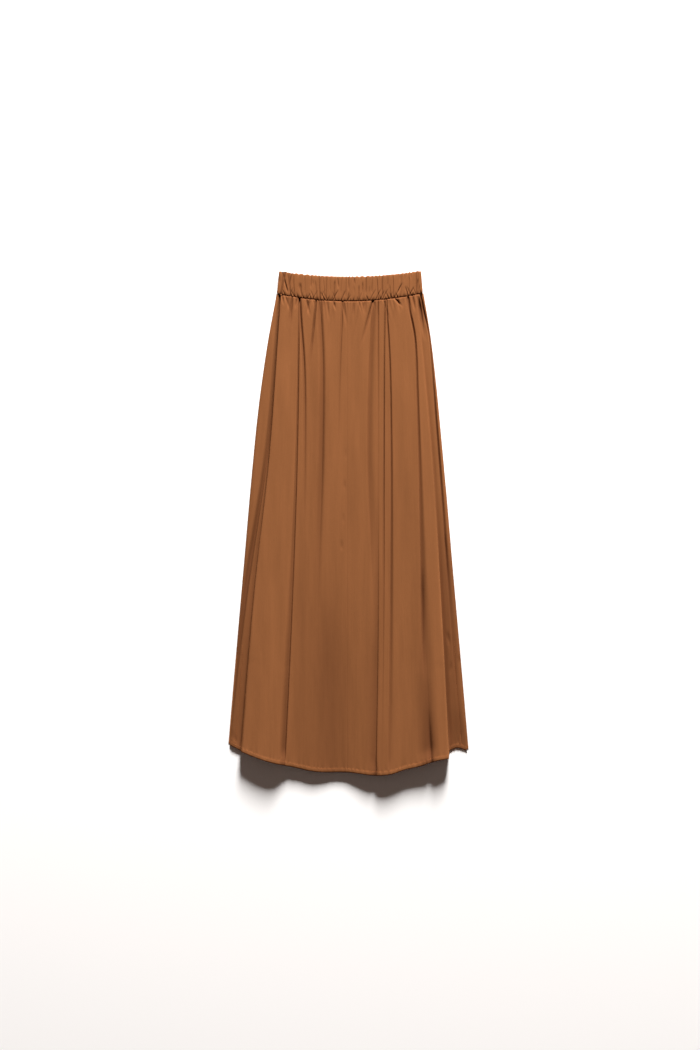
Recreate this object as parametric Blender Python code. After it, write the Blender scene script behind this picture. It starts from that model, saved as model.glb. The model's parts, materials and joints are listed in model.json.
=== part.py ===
"""A long gathered skirt laid flat: elastic waistband, two front panels with a centre seam, one back panel.

X runs across the skirt, +Y towards the waist, +Z up from the surface that it lies on.
The origin is at the middle of the skirt's outline, on that surface.
"""

import math
from collections import namedtuple

import bpy
import numpy as np

MM = 0.001

# Cloth and seams
WALL = 1.2 * MM
BAND_WALL = 3.2 * MM
SEAM_GAP = 0.3 * MM

# Waistband: its height is at the sides, and the middle of each edge sags
TOP_Y = 479.8 * MM
TOP_SAG = 10.3 * MM
SEAM_Y = 437.5 * MM
SEAM_SAG = 15 * MM
TOP_HALF = 135 * MM
TOP_SHIFT = 2.9 * MM
BAND_SEAM_HALF = 138.6 * MM
BAND_SEAM_SHIFT = 2.7 * MM
BAND_MID_Z = 4 * MM
BAND_REACH = 2.4 * MM
BACK_COLUMNS = 34
TURN_COLUMNS = 4
EDGE_SCALLOP = 0.9 * MM

# Gathers: narrow furrows in the waistband and, fading out below it, in the front panels
GATHERS = 40
GATHER_COLUMNS = 3
GATHER_DEPTH = 1.5 * MM
GATHER_DEPTH_VARIES = 0.25
GATHER_FADE = 0.035
GATHER_SLANT = 0.8 * MM
SLANT_TURN = 0.55
Wave = namedtuple("Wave", "size times start")
GATHER_PITCH_VARIES = (Wave(0.006, 61, 0.0), Wave(0.004, 97, 1.0))

# The wall of the waistband in section: share of its height, and share of half its thickness outwards
Section = namedtuple("Section", "share out")
BAND_SECTION = (
    Section(0.00, 0.55),
    Section(0.10, 1.00),
    Section(0.50, 1.00),
    Section(0.90, 1.00),
    Section(1.00, 0.45),
    Section(1.00, -0.45),
    Section(0.90, -0.85),
    Section(0.10, -0.85),
    Section(0.00, -0.45),
)

# Hem: a narrow turned band. Right of the front's folded edge the hem ends higher, and the back's is shorter
HEM_BAND = 9 * MM
HEM_STEP = 0.4 * MM
SIDE_HEM_STEP = 13 * MM
BACK_HEM_UP = 4 * MM

# Side slits open below this share of the panel's length, and there the back stands out past the front
SLIT_TOP = 0.785
SLIT_EASE = 0.015
SLIT_SHOW = 2.5 * MM

# Front: its length in the middle, its pinch at the waist seam, and its centre seam
LENGTH = 909 * MM
SEAM_PINCH = 2.2 * MM
PINCH_FADE = 0.006
CENTRE_SEAM_X = -2.9 * MM
CENTRE_SEAM_DIP = 0.5 * MM
CENTRE_SEAM_HALF = 3 * MM
EDGE_ROUND = 7 * MM
SHEET_EDGE_ROUND = 5 * MM

# The waist's two ends stand a little to the right of the middle
WAIST_LEAN = 2.9 * MM
LEAN_FADE = 0.33
LOWEST_FRONT = 2 * WALL + SEAM_GAP

# The hem's place along the skirt, in millimetres, at shares of the half width: lowest right of the middle
Hem = namedtuple("Hem", "across y")
HEMS = (
    Hem(-1.00, -420.0),
    Hem(-0.90, -431.5),
    Hem(-0.70, -449.0),
    Hem(-0.45, -462.0),
    Hem(-0.30, -469.5),
    Hem(0.00, -471.5),
    Hem(0.25, -477.0),
    Hem(0.36, -474.5),
    Hem(0.46, -467.0),
    Hem(0.60, -459.5),
    Hem(0.75, -448.5),
    Hem(1.00, -441.5),
)

# Half the skirt's width, in millimetres, at shares of the way from the waist seam to the hem
Width = namedtuple("Width", "down half")
WIDTHS = (
    Width(0.0, 139.5),
    Width(0.1, 154.5),
    Width(0.2, 166.0),
    Width(0.4, 183.5),
    Width(0.6, 198.5),
    Width(0.8, 213.5),
    Width(1.0, 228.0),
)

# Height of the front above the surface, in millimetres, at shares of the half width.
# The middle's heights are reached at MIDDLE_AT, and the hem's waves start at FLARE_FROM.
MIDDLE_AT = 0.4
FLARE_FROM = 0.36
FLARE_POWER = 1.7
Rise = namedtuple("Rise", "across waist middle hem")
RISES = (
    Rise(-1.00, 7.6, 7.6, 15.0),
    Rise(-0.88, 9.6, 10.6, 19.5),
    Rise(-0.74, 10.2, 12.4, 22.5),
    Rise(-0.62, 10.2, 12.6, 19.0),
    Rise(-0.50, 10.0, 11.4, 11.0),
    Rise(-0.25, 10.0, 12.2, 11.5),
    Rise(-0.02, 9.8, 10.6, 9.2),
    Rise(0.12, 10.0, 11.4, 13.0),
    Rise(0.28, 10.4, 12.0, 18.5),
    Rise(0.58, 10.4, 13.0, 17.5),
    Rise(0.74, 10.4, 14.5, 22.0),
    Rise(0.86, 9.6, 12.0, 18.5),
    Rise(1.00, 7.6, 8.2, 14.0),
)

# The strips beyond the front's own folded edges lie lower, in millimetres
STRIP_WAIST = 8.4
STRIP_MIDDLE = 7.4
STRIP_HEM = 3.7

# Each long fold, in millimetres: where it runs across the skirt at four places down it, how deep it is at those
# four places, and how wide its slope is. The sheet on its lap side (1 right, -1 left) laps over it.
Fold = namedtuple("Fold", "name waist upper lower hem at_waist at_upper at_lower at_hem slope lap")
LEFT_FOLDS = (
    Fold("left_edge", -133.0, -158.0, -194.0, -224.0, 3.0, 4.0, 4.8, 3.6, 9, 1),
    Fold("left_sheet", -130.2, -152.6, -182.8, -204.6, 4.6, 4.4, 2.4, 1.4, 7, 1),
    Fold("left_long", -94.1, -99.0, -109.0, -122.5, 3.4, 3.2, 3.4, 4.6, 8, 1),
    Fold("left_twin", -87.0, -82.0, -86.0, -86.0, 4.8, 1.6, 0.0, 0.0, 11, 1),
    Fold("left_inner", -51.5, -49.5, -58.0, -60.0, 3.4, 3.4, 0.3, 0.0, 12, 1),
    Fold("left_short", -11.4, -20.0, -24.0, -24.0, 2.6, 0.0, 0.0, 0.0, 9, 1),
)
RIGHT_FOLDS = (
    Fold("right_short", 45.6, 37.5, 46.0, 34.0, 3.0, 2.4, 0.5, 0.0, 12, -1),
    Fold("right_mouth", 56.0, 56.0, 56.0, 53.0, 2.6, 0.5, 2.2, 5.0, 8, 1),
    Fold("right_inner", 68.5, 67.5, 66.5, 63.5, 3.2, 3.4, 1.4, 0.0, 6, 1),
    Fold("right_twin", 74.5, 81.0, 79.5, 76.0, 3.2, 3.8, 3.2, 1.0, 8, -1),
    Fold("right_long", 112.0, 133.0, 137.5, 144.0, 4.0, 4.0, 3.8, 0.0, 12, -1),
    Fold("right_ridge", 119.0, 137.0, 141.5, 157.0, 0.0, 0.0, 2.6, 7.2, 16, 1),
    Fold("right_sheet", 128.0, 158.0, 177.4, 191.9, 0.0, 0.6, 1.0, 1.2, 9, -1),
    Fold("right_edge", 136.0, 170.0, 192.4, 214.5, 4.8, 4.8, 1.4, 0.0, 8, -1),
)
LEFT_COLUMNS = (7, 6, 11, 8, 10, 10, 8)
RIGHT_COLUMNS = (10, 7, 8, 6, 11, 3, 8, 6, 4)
CRISP = 2.2 * MM
NARROWEST = 2.6 * MM
NEAR_FOLD = 2.4 * MM

ROWS = (0.0, 0.008, 0.025, 0.055, 0.11, 0.19, 0.29, 0.4, 0.5, 0.6, 0.7, 0.79, 0.88, 0.95)
BACK_ROWS = (0.0, 0.1, 0.2, 0.4, 0.6, 0.785, 0.8, 0.9)
BACK_ACROSS = 44

CARAMEL = (0.262, 0.098, 0.036, 1.0)
CLOTH_ROUGHNESS = 0.72


def smooth(share):
    """Eases from 0 to 1 as share does."""
    share = np.clip(share, 0.0, 1.0)
    return share * share * (3 - 2 * share)


def through(knots, values, at):
    """A smooth curve through a table's values."""
    knots, values, at = (np.asarray(v, float) for v in (knots, values, at))
    slopes = np.gradient(values, knots)
    i = np.clip(np.searchsorted(knots, at, side="right") - 1, 0, len(knots) - 2)
    span = knots[i + 1] - knots[i]
    s = np.clip((at - knots[i]) / span, 0.0, 1.0)
    return (
        (1 + 2 * s) * (1 - s) ** 2 * values[i]
        + s * (1 - s) ** 2 * span * slopes[i]
        + s * s * (3 - 2 * s) * values[i + 1]
        + s * s * (s - 1) * span * slopes[i + 1]
    )


def half_width(down):
    return MM * through([w.down for w in WIDTHS], [w.half for w in WIDTHS], down)


def front_half(down):
    """Below a slit's top the front's edge lies inside the back's."""
    return half_width(down) - SLIT_SHOW * smooth((down - SLIT_TOP) / SLIT_EASE)


def seam_y(across):
    return SEAM_Y - SEAM_SAG * (1 - across**2)


def top_y(across):
    return TOP_Y - TOP_SAG * (1 - across**2)


def hem_y(across):
    return MM * through([h.across for h in HEMS], [h.y for h in HEMS], across)


def hem_step(x, down):
    """How much higher the hem ends past the front's right folded edge."""
    past = x - fold_x(fold_named("right_sheet"), down)
    return SIDE_HEM_STEP * smooth(past / (2 * MM) + 0.5) * smooth(2 * down - 1)


def fold_x(fold, down):
    places = [fold.waist, fold.upper, fold.lower, fold.hem]
    return MM * through([0, 1 / 3, 2 / 3, 1], places, down)


def fold_depth(fold, down):
    depths = [fold.at_waist, fold.at_upper, fold.at_lower, fold.at_hem]
    return MM * max(0.0, float(through([0, 1 / 3, 2 / 3, 1], depths, down)))


def waist_lean(across, down):
    """How far the outer parts stand to the right near the waist."""
    return WAIST_LEAN * (1 - smooth(down / LEAN_FADE)) * np.abs(across) ** 4


def fold_named(name):
    return next(f for f in LEFT_FOLDS + RIGHT_FOLDS if f.name == name)


def rise_shares(down):
    """How much of the waist's, the middle's and the hem's height holds at this share of the length."""
    to_middle = smooth(down / MIDDLE_AT)
    to_hem = np.clip((down - FLARE_FROM) / (1 - FLARE_FROM), 0.0, 1.0) ** FLARE_POWER
    return (1 - to_middle), to_middle * (1 - to_hem), to_hem


def sheet_height(across, down):
    waist, middle, hem = rise_shares(down)
    knots = [r.across for r in RISES]
    return MM * sum(
        share * through(knots, column, across)
        for share, column in (
            (waist, [r.waist for r in RISES]),
            (middle, [r.middle for r in RISES]),
            (hem, [r.hem for r in RISES]),
        )
    )


def strip_height(down):
    waist, middle, hem = rise_shares(down)
    return MM * (waist * STRIP_WAIST + middle * STRIP_MIDDLE + hem * STRIP_HEM)


def rounded(distance, radius):
    """The rise of a rounded edge, from 0 at the edge to 1 a radius inside it."""
    share = np.clip(distance / radius, 0.0, 1.0)
    return np.sqrt(1 - (1 - share) ** 2)


def fold_dip(fold, x, down):
    """How far the cloth drops into a fold: a long slope on one side, a crisp edge on the other."""
    off = (x - fold_x(fold, down)) * fold.lap
    slope = 0.5 + 0.5 * np.cos(math.pi * np.clip(off / (fold.slope * MM), -1.0, 0.0))
    crisp = np.clip(1 - off / CRISP, 0.0, 1.0) ** 2
    return fold_depth(fold, down) * np.where(off < 0, slope, crisp)


def front_height(x, down):
    """Height of the front's outer face above the surface that the skirt lies on."""
    half = front_half(down)
    sheet = sheet_height(np.clip(x / half, -1.0, 1.0), down)
    strip = strip_height(down)
    inside_left = x - fold_x(fold_named("left_sheet"), down)
    inside_right = fold_x(fold_named("right_sheet"), down) - x
    inside = np.minimum(inside_left, inside_right)
    height = strip + (sheet - strip) * rounded(inside, SHEET_EDGE_ROUND)
    for fold in LEFT_FOLDS + RIGHT_FOLDS:
        height = height - fold_dip(fold, x, down)
    centre = np.clip(1 - np.abs(x - CENTRE_SEAM_X) / CENTRE_SEAM_HALF, 0.0, 1.0)
    height = height - CENTRE_SEAM_DIP * centre
    edge = rounded(half - np.abs(x), EDGE_ROUND)
    return LOWEST_FRONT + np.maximum(height - LOWEST_FRONT, 0.0) * edge


def eroded(height_at, x, wall):
    """The inner face of a wall of even thickness under an outer face."""
    turns = np.linspace(-math.pi / 2, math.pi / 2, 11)
    below = [height_at(x + wall * math.sin(a)) - wall * math.cos(a) for a in turns]
    return np.min(below, axis=0)


def fold_columns(folds, counts, first, last, down):
    """Places across a panel, close together beside its folds and even between them."""
    knots = [first, *(float(fold_x(f, down)) for f in folds), last]
    for i in range(1, len(knots)):
        knots[i] = max(knots[i], knots[i - 1] + NARROWEST)
    knots[-1] = last
    for i in range(len(knots) - 2, -1, -1):
        knots[i] = min(knots[i], knots[i + 1] - NARROWEST)
    knots[0] = first
    places = []
    for start, end, count in zip(knots, knots[1:], counts):
        beside = min(NEAR_FOLD, (end - start) / count)
        inner = np.linspace(start + beside, end - beside, count - 1)
        places += [start, *inner]
    return np.array([*places, last])


def gather_places(first, last, count):
    """Places along the waist seam, a few for each gather, with the gathers of uneven width."""
    share = np.linspace(0.0, 1.0, count + 1)
    uneven = sum(w.size * np.sin(share * w.times + w.start) for w in GATHER_PITCH_VARIES)
    uneven = uneven * np.sin(math.pi * share)
    return first + (last - first) * (share + uneven)


def gather_relief(count):
    """One narrow furrow for each gather, between two points on its crown, with uneven depth."""
    column = np.arange(count + 1)
    furrow = column % GATHER_COLUMNS == GATHER_COLUMNS // 2
    uneven = 1 + GATHER_DEPTH_VARIES * (np.sin(column * 2.3) * np.cos(column * 0.7) - 1)
    return np.where(furrow, -0.75, 0.25) * GATHER_DEPTH * uneven


def panel_edges(side, down):
    """The two edges of a front panel: its side edge and its edge at the centre seam."""
    if side < 0:
        return -float(front_half(down)), CENTRE_SEAM_X - SEAM_GAP / 2
    return CENTRE_SEAM_X + SEAM_GAP / 2, float(front_half(down))


def front_faces(side):
    """Grids of points on a front panel's outer and inner faces, a row for each section."""
    folds, counts = (
        (LEFT_FOLDS, LEFT_COLUMNS) if side < 0 else (RIGHT_FOLDS, RIGHT_COLUMNS)
    )
    total = sum(counts)
    relief = gather_relief(total)
    outer, inner = [], []
    hem_rows = (1 - HEM_BAND / LENGTH, 1 - (HEM_BAND - MM) / LENGTH, 1.0)
    for down in ROWS + hem_rows:
        first, last = panel_edges(side, down)
        x = fold_columns(folds, counts, first, last, down)
        half = float(front_half(down))
        across = x / half
        lean = waist_lean(across, down)
        y = seam_y((x + lean) / half) - SEAM_GAP / 2
        y = y + (hem_y(across) + hem_step(x, down) - y) * down
        height = front_height(x, down)
        height = height + relief * math.exp(-down / GATHER_FADE) * (1 - across**8)
        height = height - SEAM_PINCH * math.exp(-down / PINCH_FADE)
        if down > hem_rows[0]:
            height = height + HEM_STEP
        height = np.maximum(height, LOWEST_FRONT)
        under = eroded(lambda place: front_height(place, down), x, WALL)
        under = np.clip(np.minimum(under, height - WALL), WALL + SEAM_GAP, None)
        height = np.maximum(height, under + WALL)
        x = x + lean
        outer.append(np.stack([x, y, height], axis=1))
        inner.append(np.stack([x, y, under], axis=1))
    return outer, inner


def back_faces():
    """Grids of points on the back panel's upper and lower faces."""
    upper, lower = [], []
    across = np.linspace(-1.0, 1.0, BACK_ACROSS + 1)
    for down in BACK_ROWS + (1.0,):
        half = float(half_width(down))
        x = across * half
        lean = waist_lean(across, down)
        y = seam_y((x + lean) / half) - SEAM_GAP / 2
        y = y + (hem_y(across) + hem_step(x, down) + BACK_HEM_UP - y) * down
        x = x + lean
        upper.append(np.stack([x, y, np.full_like(x, WALL)], axis=1))
        lower.append(np.stack([x, y, np.zeros_like(x)], axis=1))
    return upper, lower


def wall_mesh(name, top, bottom):
    """A closed wall between two grids of points that have the same rows and columns."""
    rows, columns = len(top), len(top[0])
    points = np.concatenate([*top, *bottom])
    under = rows * columns

    def at(row, column):
        return row * columns + column

    faces = []
    for row in range(rows - 1):
        for column in range(columns - 1):
            a, b = at(row, column), at(row, column + 1)
            c, d = at(row + 1, column + 1), at(row + 1, column)
            faces.append((a, d, c, b))
            faces.append((a + under, b + under, c + under, d + under))
    rim = [at(0, column) for column in range(columns)]
    rim += [at(row, columns - 1) for row in range(1, rows)]
    rim += [at(rows - 1, column) for column in range(columns - 2, -1, -1)]
    rim += [at(row, 0) for row in range(rows - 2, 0, -1)]
    for a, b in zip(rim, rim[1:] + rim[:1]):
        faces.append((a, b, b + under, a + under))
    return mesh_of(name, points, faces)


def mesh_of(name, points, faces):
    mesh = bpy.data.meshes.new(name)
    mesh.from_pydata([tuple(map(float, p)) for p in points], [], faces)
    mesh.validate()
    mesh.shade_smooth()
    mesh.set_sharp_from_angle(angle=math.radians(50))
    return mesh


def band_path(share):
    """Columns round the flattened waistband at a share of its height: (x, z, nx, nz, relief) for each."""
    half = BAND_SEAM_HALF + (TOP_HALF - BAND_SEAM_HALF) * share
    middle = BAND_SEAM_SHIFT + (TOP_SHIFT - BAND_SEAM_SHIFT) * share
    turn_at = half - BAND_REACH - BAND_WALL / 2
    count = GATHERS * GATHER_COLUMNS
    relief = gather_relief(count)
    slant = GATHER_SLANT * np.sin(np.arange(count + 1) * SLANT_TURN) * math.sin(math.pi * share)
    places = gather_places(-turn_at, turn_at, count) + slant * np.hanning(count + 1)
    columns = [
        (x, BAND_MID_Z + BAND_REACH, 0.0, 1.0, dip) for x, dip in zip(places, relief)
    ]
    turns = [math.pi * (i + 1) / (TURN_COLUMNS + 1) for i in range(TURN_COLUMNS)]
    for a in turns:
        nx, nz = math.sin(a), math.cos(a)
        columns.append((turn_at + BAND_REACH * nx, BAND_MID_Z + BAND_REACH * nz, nx, nz, 0.0))
    for x in np.linspace(turn_at, -turn_at, BACK_COLUMNS + 1):
        columns.append((x, BAND_MID_Z - BAND_REACH, 0.0, -1.0, 0.0))
    for a in turns:
        nx, nz = -math.sin(a), -math.cos(a)
        columns.append((-turn_at + BAND_REACH * nx, BAND_MID_Z + BAND_REACH * nz, nx, nz, 0.0))
    return [(x + middle, *rest) for x, *rest in columns]


def waistband_mesh(name):
    """The waistband: one loop of cloth over elastic, pressed flat, with gathers on its front."""
    rings = []
    for section in BAND_SECTION:
        ring = []
        for x, z, nx, nz, dip in band_path(section.share):
            across = x / half_width(0.0)
            bottom = seam_y(across) + SEAM_GAP / 2
            scallop = EDGE_SCALLOP * dip / GATHER_DEPTH
            y = bottom + (top_y(across) + scallop - bottom) * section.share
            out = section.out * BAND_WALL / 2
            if section.out > 0:
                out = out + dip
            ring.append((x + nx * out, y, z + nz * out))
        rings.append(ring)
    count, columns = len(rings), len(rings[0])
    faces = []
    for i in range(count):
        for j in range(columns):
            a, b = i * columns + j, i * columns + (j + 1) % columns
            c, d = ((i + 1) % count) * columns + (j + 1) % columns, ((i + 1) % count) * columns + j
            faces.append((a, b, c, d))
    return mesh_of(name, [p for ring in rings for p in ring], faces)


def cloth_material():
    material = bpy.data.materials.new("caramel_poplin")
    material.use_nodes = True
    shader = material.node_tree.nodes["Principled BSDF"]
    shader.inputs["Base Color"].default_value = CARAMEL
    shader.inputs["Roughness"].default_value = CLOTH_ROUGHNESS
    shader.inputs["Metallic"].default_value = 0.0
    return material


def add_piece(name, mesh):
    piece = bpy.data.objects.new(name, mesh)
    mesh.materials.append(cloth_material())
    bpy.context.scene.collection.objects.link(piece)
    return piece


def main():
    for old in list(bpy.data.objects):
        bpy.data.objects.remove(old)
    add_piece("waistband", waistband_mesh("waistband"))
    add_piece("front_left_panel", wall_mesh("front_left_panel", *front_faces(-1)))
    add_piece("front_right_panel", wall_mesh("front_right_panel", *front_faces(1)))
    add_piece("back_panel", wall_mesh("back_panel", *back_faces()))


main()
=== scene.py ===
"""A midi skirt in caramel cotton poplin, laid flat and seen from straight above.

X runs across the skirt, +Y towards the waist, +Z up from the floor. Every size is in metres, and the tables
are in millimetres. The shapes repeat the sizes of the solids, so each cloth lies where its solid is.
"""

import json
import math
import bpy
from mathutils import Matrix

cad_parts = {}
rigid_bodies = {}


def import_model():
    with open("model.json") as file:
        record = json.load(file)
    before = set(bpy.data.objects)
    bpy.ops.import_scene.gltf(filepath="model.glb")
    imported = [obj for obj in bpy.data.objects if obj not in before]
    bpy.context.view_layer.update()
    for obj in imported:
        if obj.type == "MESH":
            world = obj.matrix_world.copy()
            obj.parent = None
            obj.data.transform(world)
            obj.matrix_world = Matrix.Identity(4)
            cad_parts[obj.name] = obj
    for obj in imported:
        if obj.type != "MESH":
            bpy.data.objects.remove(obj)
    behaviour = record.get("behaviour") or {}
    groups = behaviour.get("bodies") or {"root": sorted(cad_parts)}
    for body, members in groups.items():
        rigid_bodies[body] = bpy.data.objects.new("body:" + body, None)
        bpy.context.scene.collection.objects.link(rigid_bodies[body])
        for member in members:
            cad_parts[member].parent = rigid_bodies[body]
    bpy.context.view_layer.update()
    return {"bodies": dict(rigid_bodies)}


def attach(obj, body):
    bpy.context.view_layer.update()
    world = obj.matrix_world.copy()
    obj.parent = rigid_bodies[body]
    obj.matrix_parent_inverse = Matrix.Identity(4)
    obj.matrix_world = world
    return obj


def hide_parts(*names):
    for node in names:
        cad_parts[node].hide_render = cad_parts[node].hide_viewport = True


bl_info = {
    "name": "Flat-laid midi skirt",
    "version": (1, 0, 0),
    "blender": (4, 5, 0),
    "location": "3D View > Sidebar > Skirt",
    "description": "Makes the cloth, the topstitching and the studio of a gathered midi skirt laid flat",
    "category": "Add Mesh",
}

from collections import namedtuple

import bpy
import numpy as np
from bpy.props import FloatProperty, FloatVectorProperty, IntProperty, PointerProperty
from mathutils import Vector

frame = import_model()

MM = 0.001
BODY = next(iter(frame["bodies"]))

# The seams, the hem and the folds lie where the solids have them. The back's top edge reaches up past the
# waist seam, so that the pale floor doesn't show through its gap.
SEAM_GAP = 0.3 * MM
BACK_TUCK = 0.45 * MM
TOP_Y = 481.0 * MM
TOP_SAG = 11.5 * MM
SEAM_Y = 437.5 * MM
SEAM_SAG = 15 * MM
TOP_HALF = 135 * MM
TOP_SHIFT = 2.9 * MM
BAND_SEAM_HALF = 138.6 * MM
BAND_SEAM_SHIFT = 2.7 * MM
BAND_HEIGHT = 45 * MM
BAND_WALL = 3.2 * MM
BAND_MID_Z = 4 * MM
BAND_REACH = 2.4 * MM
SIDE_HEM_STEP = 13 * MM
STEP_EASE = 2 * MM
BACK_HEM_UP = 4 * MM
SLIT_TOP = 0.785
SLIT_EASE = 0.015
SLIT_SHOW = 2.5 * MM
LENGTH = 909 * MM
CENTRE_SEAM_X = -2.9 * MM
MIDDLE_AT = 0.4
FLARE_FROM = 0.36
FLARE_POWER = 1.7

# The hem's place along the skirt, in millimetres, at shares of the half width
Hem = namedtuple("Hem", "across y")
HEMS = (
    Hem(-1.00, -420.0),
    Hem(-0.90, -431.5),
    Hem(-0.70, -449.0),
    Hem(-0.45, -462.0),
    Hem(-0.30, -469.5),
    Hem(0.00, -471.5),
    Hem(0.25, -477.0),
    Hem(0.36, -474.5),
    Hem(0.46, -467.0),
    Hem(0.60, -459.5),
    Hem(0.75, -448.5),
    Hem(0.85, -444.0),
    Hem(0.91, -438.8),
    Hem(1.00, -444.0),
)

# Half the skirt's width, in millimetres, at shares of its length
Width = namedtuple("Width", "down half")
WIDTHS = (
    Width(0.0, 139.5),
    Width(0.1, 154.5),
    Width(0.2, 166.0),
    Width(0.4, 183.5),
    Width(0.6, 198.5),
    Width(0.8, 213.5),
    Width(1.0, 228.0),
)

# Height of the front above the floor, in millimetres, at shares of the half width
Rise = namedtuple("Rise", "across waist middle hem")
RISES = (
    Rise(-1.00, 7.6, 7.6, 15.0),
    Rise(-0.88, 9.6, 10.6, 19.5),
    Rise(-0.74, 10.2, 12.4, 22.5),
    Rise(-0.62, 10.2, 12.6, 21.5),
    Rise(-0.55, 10.1, 12.0, 17.0),
    Rise(-0.50, 10.0, 11.4, 11.5),
    Rise(-0.44, 10.0, 11.5, 11.0),
    Rise(-0.25, 10.0, 12.2, 11.5),
    Rise(-0.02, 9.8, 10.6, 9.2),
    Rise(0.12, 10.0, 11.4, 13.0),
    Rise(0.28, 10.4, 12.0, 18.5),
    Rise(0.58, 10.4, 13.0, 17.5),
    Rise(0.74, 10.4, 14.5, 22.0),
    Rise(0.86, 9.6, 12.0, 18.5),
    Rise(1.00, 7.6, 8.2, 14.0),
)

# The strips beyond the front's folded edges lie lower
STRIP = Rise(1.0, 8.4, 7.4, 3.7)

# Long folds, in millimetres: places across at four heights, a kick sideways at the waist and its fade,
# depths at the four heights (below zero ends the fold early), the slope's width at the waist and at the hem,
# the crisp side's width, the side that laps over, and its overhang
Fold = namedtuple("Fold", "name waist upper lower hem kick fade d0 d1 d2 d3 narrow wide edge lap over")
LEFT_FOLDS = (
    Fold("left_edge", -132.0, -153.0, -194.5, -228.5, 0, 85, 3.0, 5.4, 6.6, 6.8, 7, 12, 4.5, 1, 0.6),
    Fold("left_sheet", -130.2, -148.8, -180.8, -204.6, 0, 85, 4.6, 4.4, 1.8, 0.8, 5, 10, 2.4, 1, 1.6),
    Fold("left_long", -94.1, -98.0, -108.0, -121.5, 0, 85, 3.6, 3.8, 3.9, 6.4, 2.8, 13, 4.0, 1, 1.2),
    Fold("left_twin", -82.4, -82.4, -86.0, -86.0, -8.8, 100, 5.0, 1.7, -1.0, 0.0, 5, 18, 5.0, 1, 1.0),
    Fold("left_inner", -46.5, -49.5, -58.0, -60.0, -6.0, 85, 3.4, 3.4, 0.3, 0.0, 10, 24, 6.0, 1, 0.5),
    Fold("left_short", -13.0, -20.0, -24.0, -24.0, 2.0, 85, 2.6, 0.0, 0.0, 0.0, 5, 10, 3.4, 1, 0.8),
)
RIGHT_FOLDS = (
    Fold("right_short", 43.0, 37.5, 46.0, 34.0, 3.0, 85, 3.0, 2.4, 0.5, 0.0, 10, 28, 5.0, -1, 0.8),
    Fold("right_mouth", 56.0, 56.0, 55.5, 51.5, 0, 85, 2.6, 0.5, 2.2, 3.4, 3, 18, 3.4, 1, 1.0),
    Fold("right_inner", 68.5, 67.5, 66.5, 63.5, 0, 85, 3.2, 3.4, 1.4, 0.0, 3, 6, 2.2, 1, 1.2),
    Fold("right_twin", 77.0, 81.0, 79.5, 76.0, -4.5, 85, 3.2, 3.8, 3.2, 1.0, 3, 8, 2.6, -1, 1.2),
    Fold("right_long", 123.0, 133.0, 139.0, 148.0, -12.5, 60, 4.0, 4.0, 3.8, -6.0, 4, 20, 3.0, -1, 1.2),
    Fold("right_ridge", 124.0, 131.0, 143.0, 157.0, 0, 85, 0.0, 0.0, 0.0, 6.6, 3, 32, 16.0, 1, 0.0),
    Fold("right_sheet", 128.0, 158.0, 176.0, 191.0, 0, 85, 0.0, 1.0, 1.8, 2.0, 6, 9, 2.2, -1, 1.4),
    Fold("right_edge", 145.0, 169.4, 191.0, 213.0, -11.0, 60, 4.8, 5.2, 1.4, 0.0, 5, 8, 2.6, -1, 1.2),
)
FOLDS = LEFT_FOLDS + RIGHT_FOLDS

# Shares of the length at which a fold's places and depths are given and from where its slope widens, the
# roundness of its crisp side, the depth from which it laps over fully, and how far the lap reaches
FOLD_KNOTS = (0, 1 / 3, 2 / 3, 1)
WIDEN_FROM = 0.15
CRISP_POWER = 1.6
FULL_LAP = 3 * MM
LAP_FADE = 9 * MM

# The folded sheet's hem opens in a small mouth at one fold, darkened with painted shade: its length up the
# skirt, its width, how narrow it starts, its depth, and how much of that is cut into the cloth
MOUTH_LENGTH = 42 * MM
MOUTH_WIDTH = 4.2 * MM
MOUTH_TIP = 0.25
MOUTH_DEPTH = 3.6 * MM
MOUTH_CUT = 0.6

# The stiff turned hem bridges the folds by this share, over the last stretch of the skirt
HEM_BRIDGES = 0.75
BRIDGE_FROM = 28 * MM
BRIDGE_EASE = 24 * MM

# At the hem the right strip lies on the floor
STRIP_SETTLES = 2.8 * MM
SETTLE_EASE = 4 * MM

# The waist's two ends stand a little to the right of the middle
WAIST_LEAN = 2.9 * MM
LEAN_FADE = 0.33

# Rounded edges, and the least heights of the front's outer and inner sides
EDGE_ROUND = 7 * MM
SHEET_EDGE_ROUND = 5 * MM
LOWEST_FRONT = 1.3 * MM
LOWEST_INSIDE = 0.7 * MM
FLOOR_EASE = 1.2 * MM

# Dents below the waist seam, the seam's groove and the centre seam's
DENT_FADE = 6 * MM
GROOVE_HALF = 0.8 * MM
CENTRE_GROOVE = 0.3 * MM
CENTRE_GROOVE_HALF = 1.3 * MM

# Turned hem: how far it stands up, how uneven it is, and how much thicker than one cloth
HEM_RAISED = 0.4 * MM
HEM_UNEVEN = 0.22 * MM
HEM_EASE = 0.8 * MM
HEM_THICKER = 1.2
BACK_HEM_RAISED = 0.35 * MM
BACK_HEM_THICKER = 0.7

# Rows of topstitches: how far inside the turned width they run, and the groove that they press
STITCH_INSET = 0.8 * MM
STITCH_HALF = 0.7 * MM
STITCH_GROOVE = 0.4 * MM
BACK_STITCH_GROOVE = 0.2 * MM
THREAD_LIFT = 0.12 * MM

# How fast the painted shade in a fold grows with its depth, how fast the painted shade on a strip fades
# away from the sheet's edge, and how strong a painted highlight along the sheet's right edge is
SHADE_DEPTH = 5.5 * MM
STRIP_PAINTED_SHADE_FADE = 6 * MM
PAINTED_RIM_HIGHLIGHT = 0.65
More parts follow.
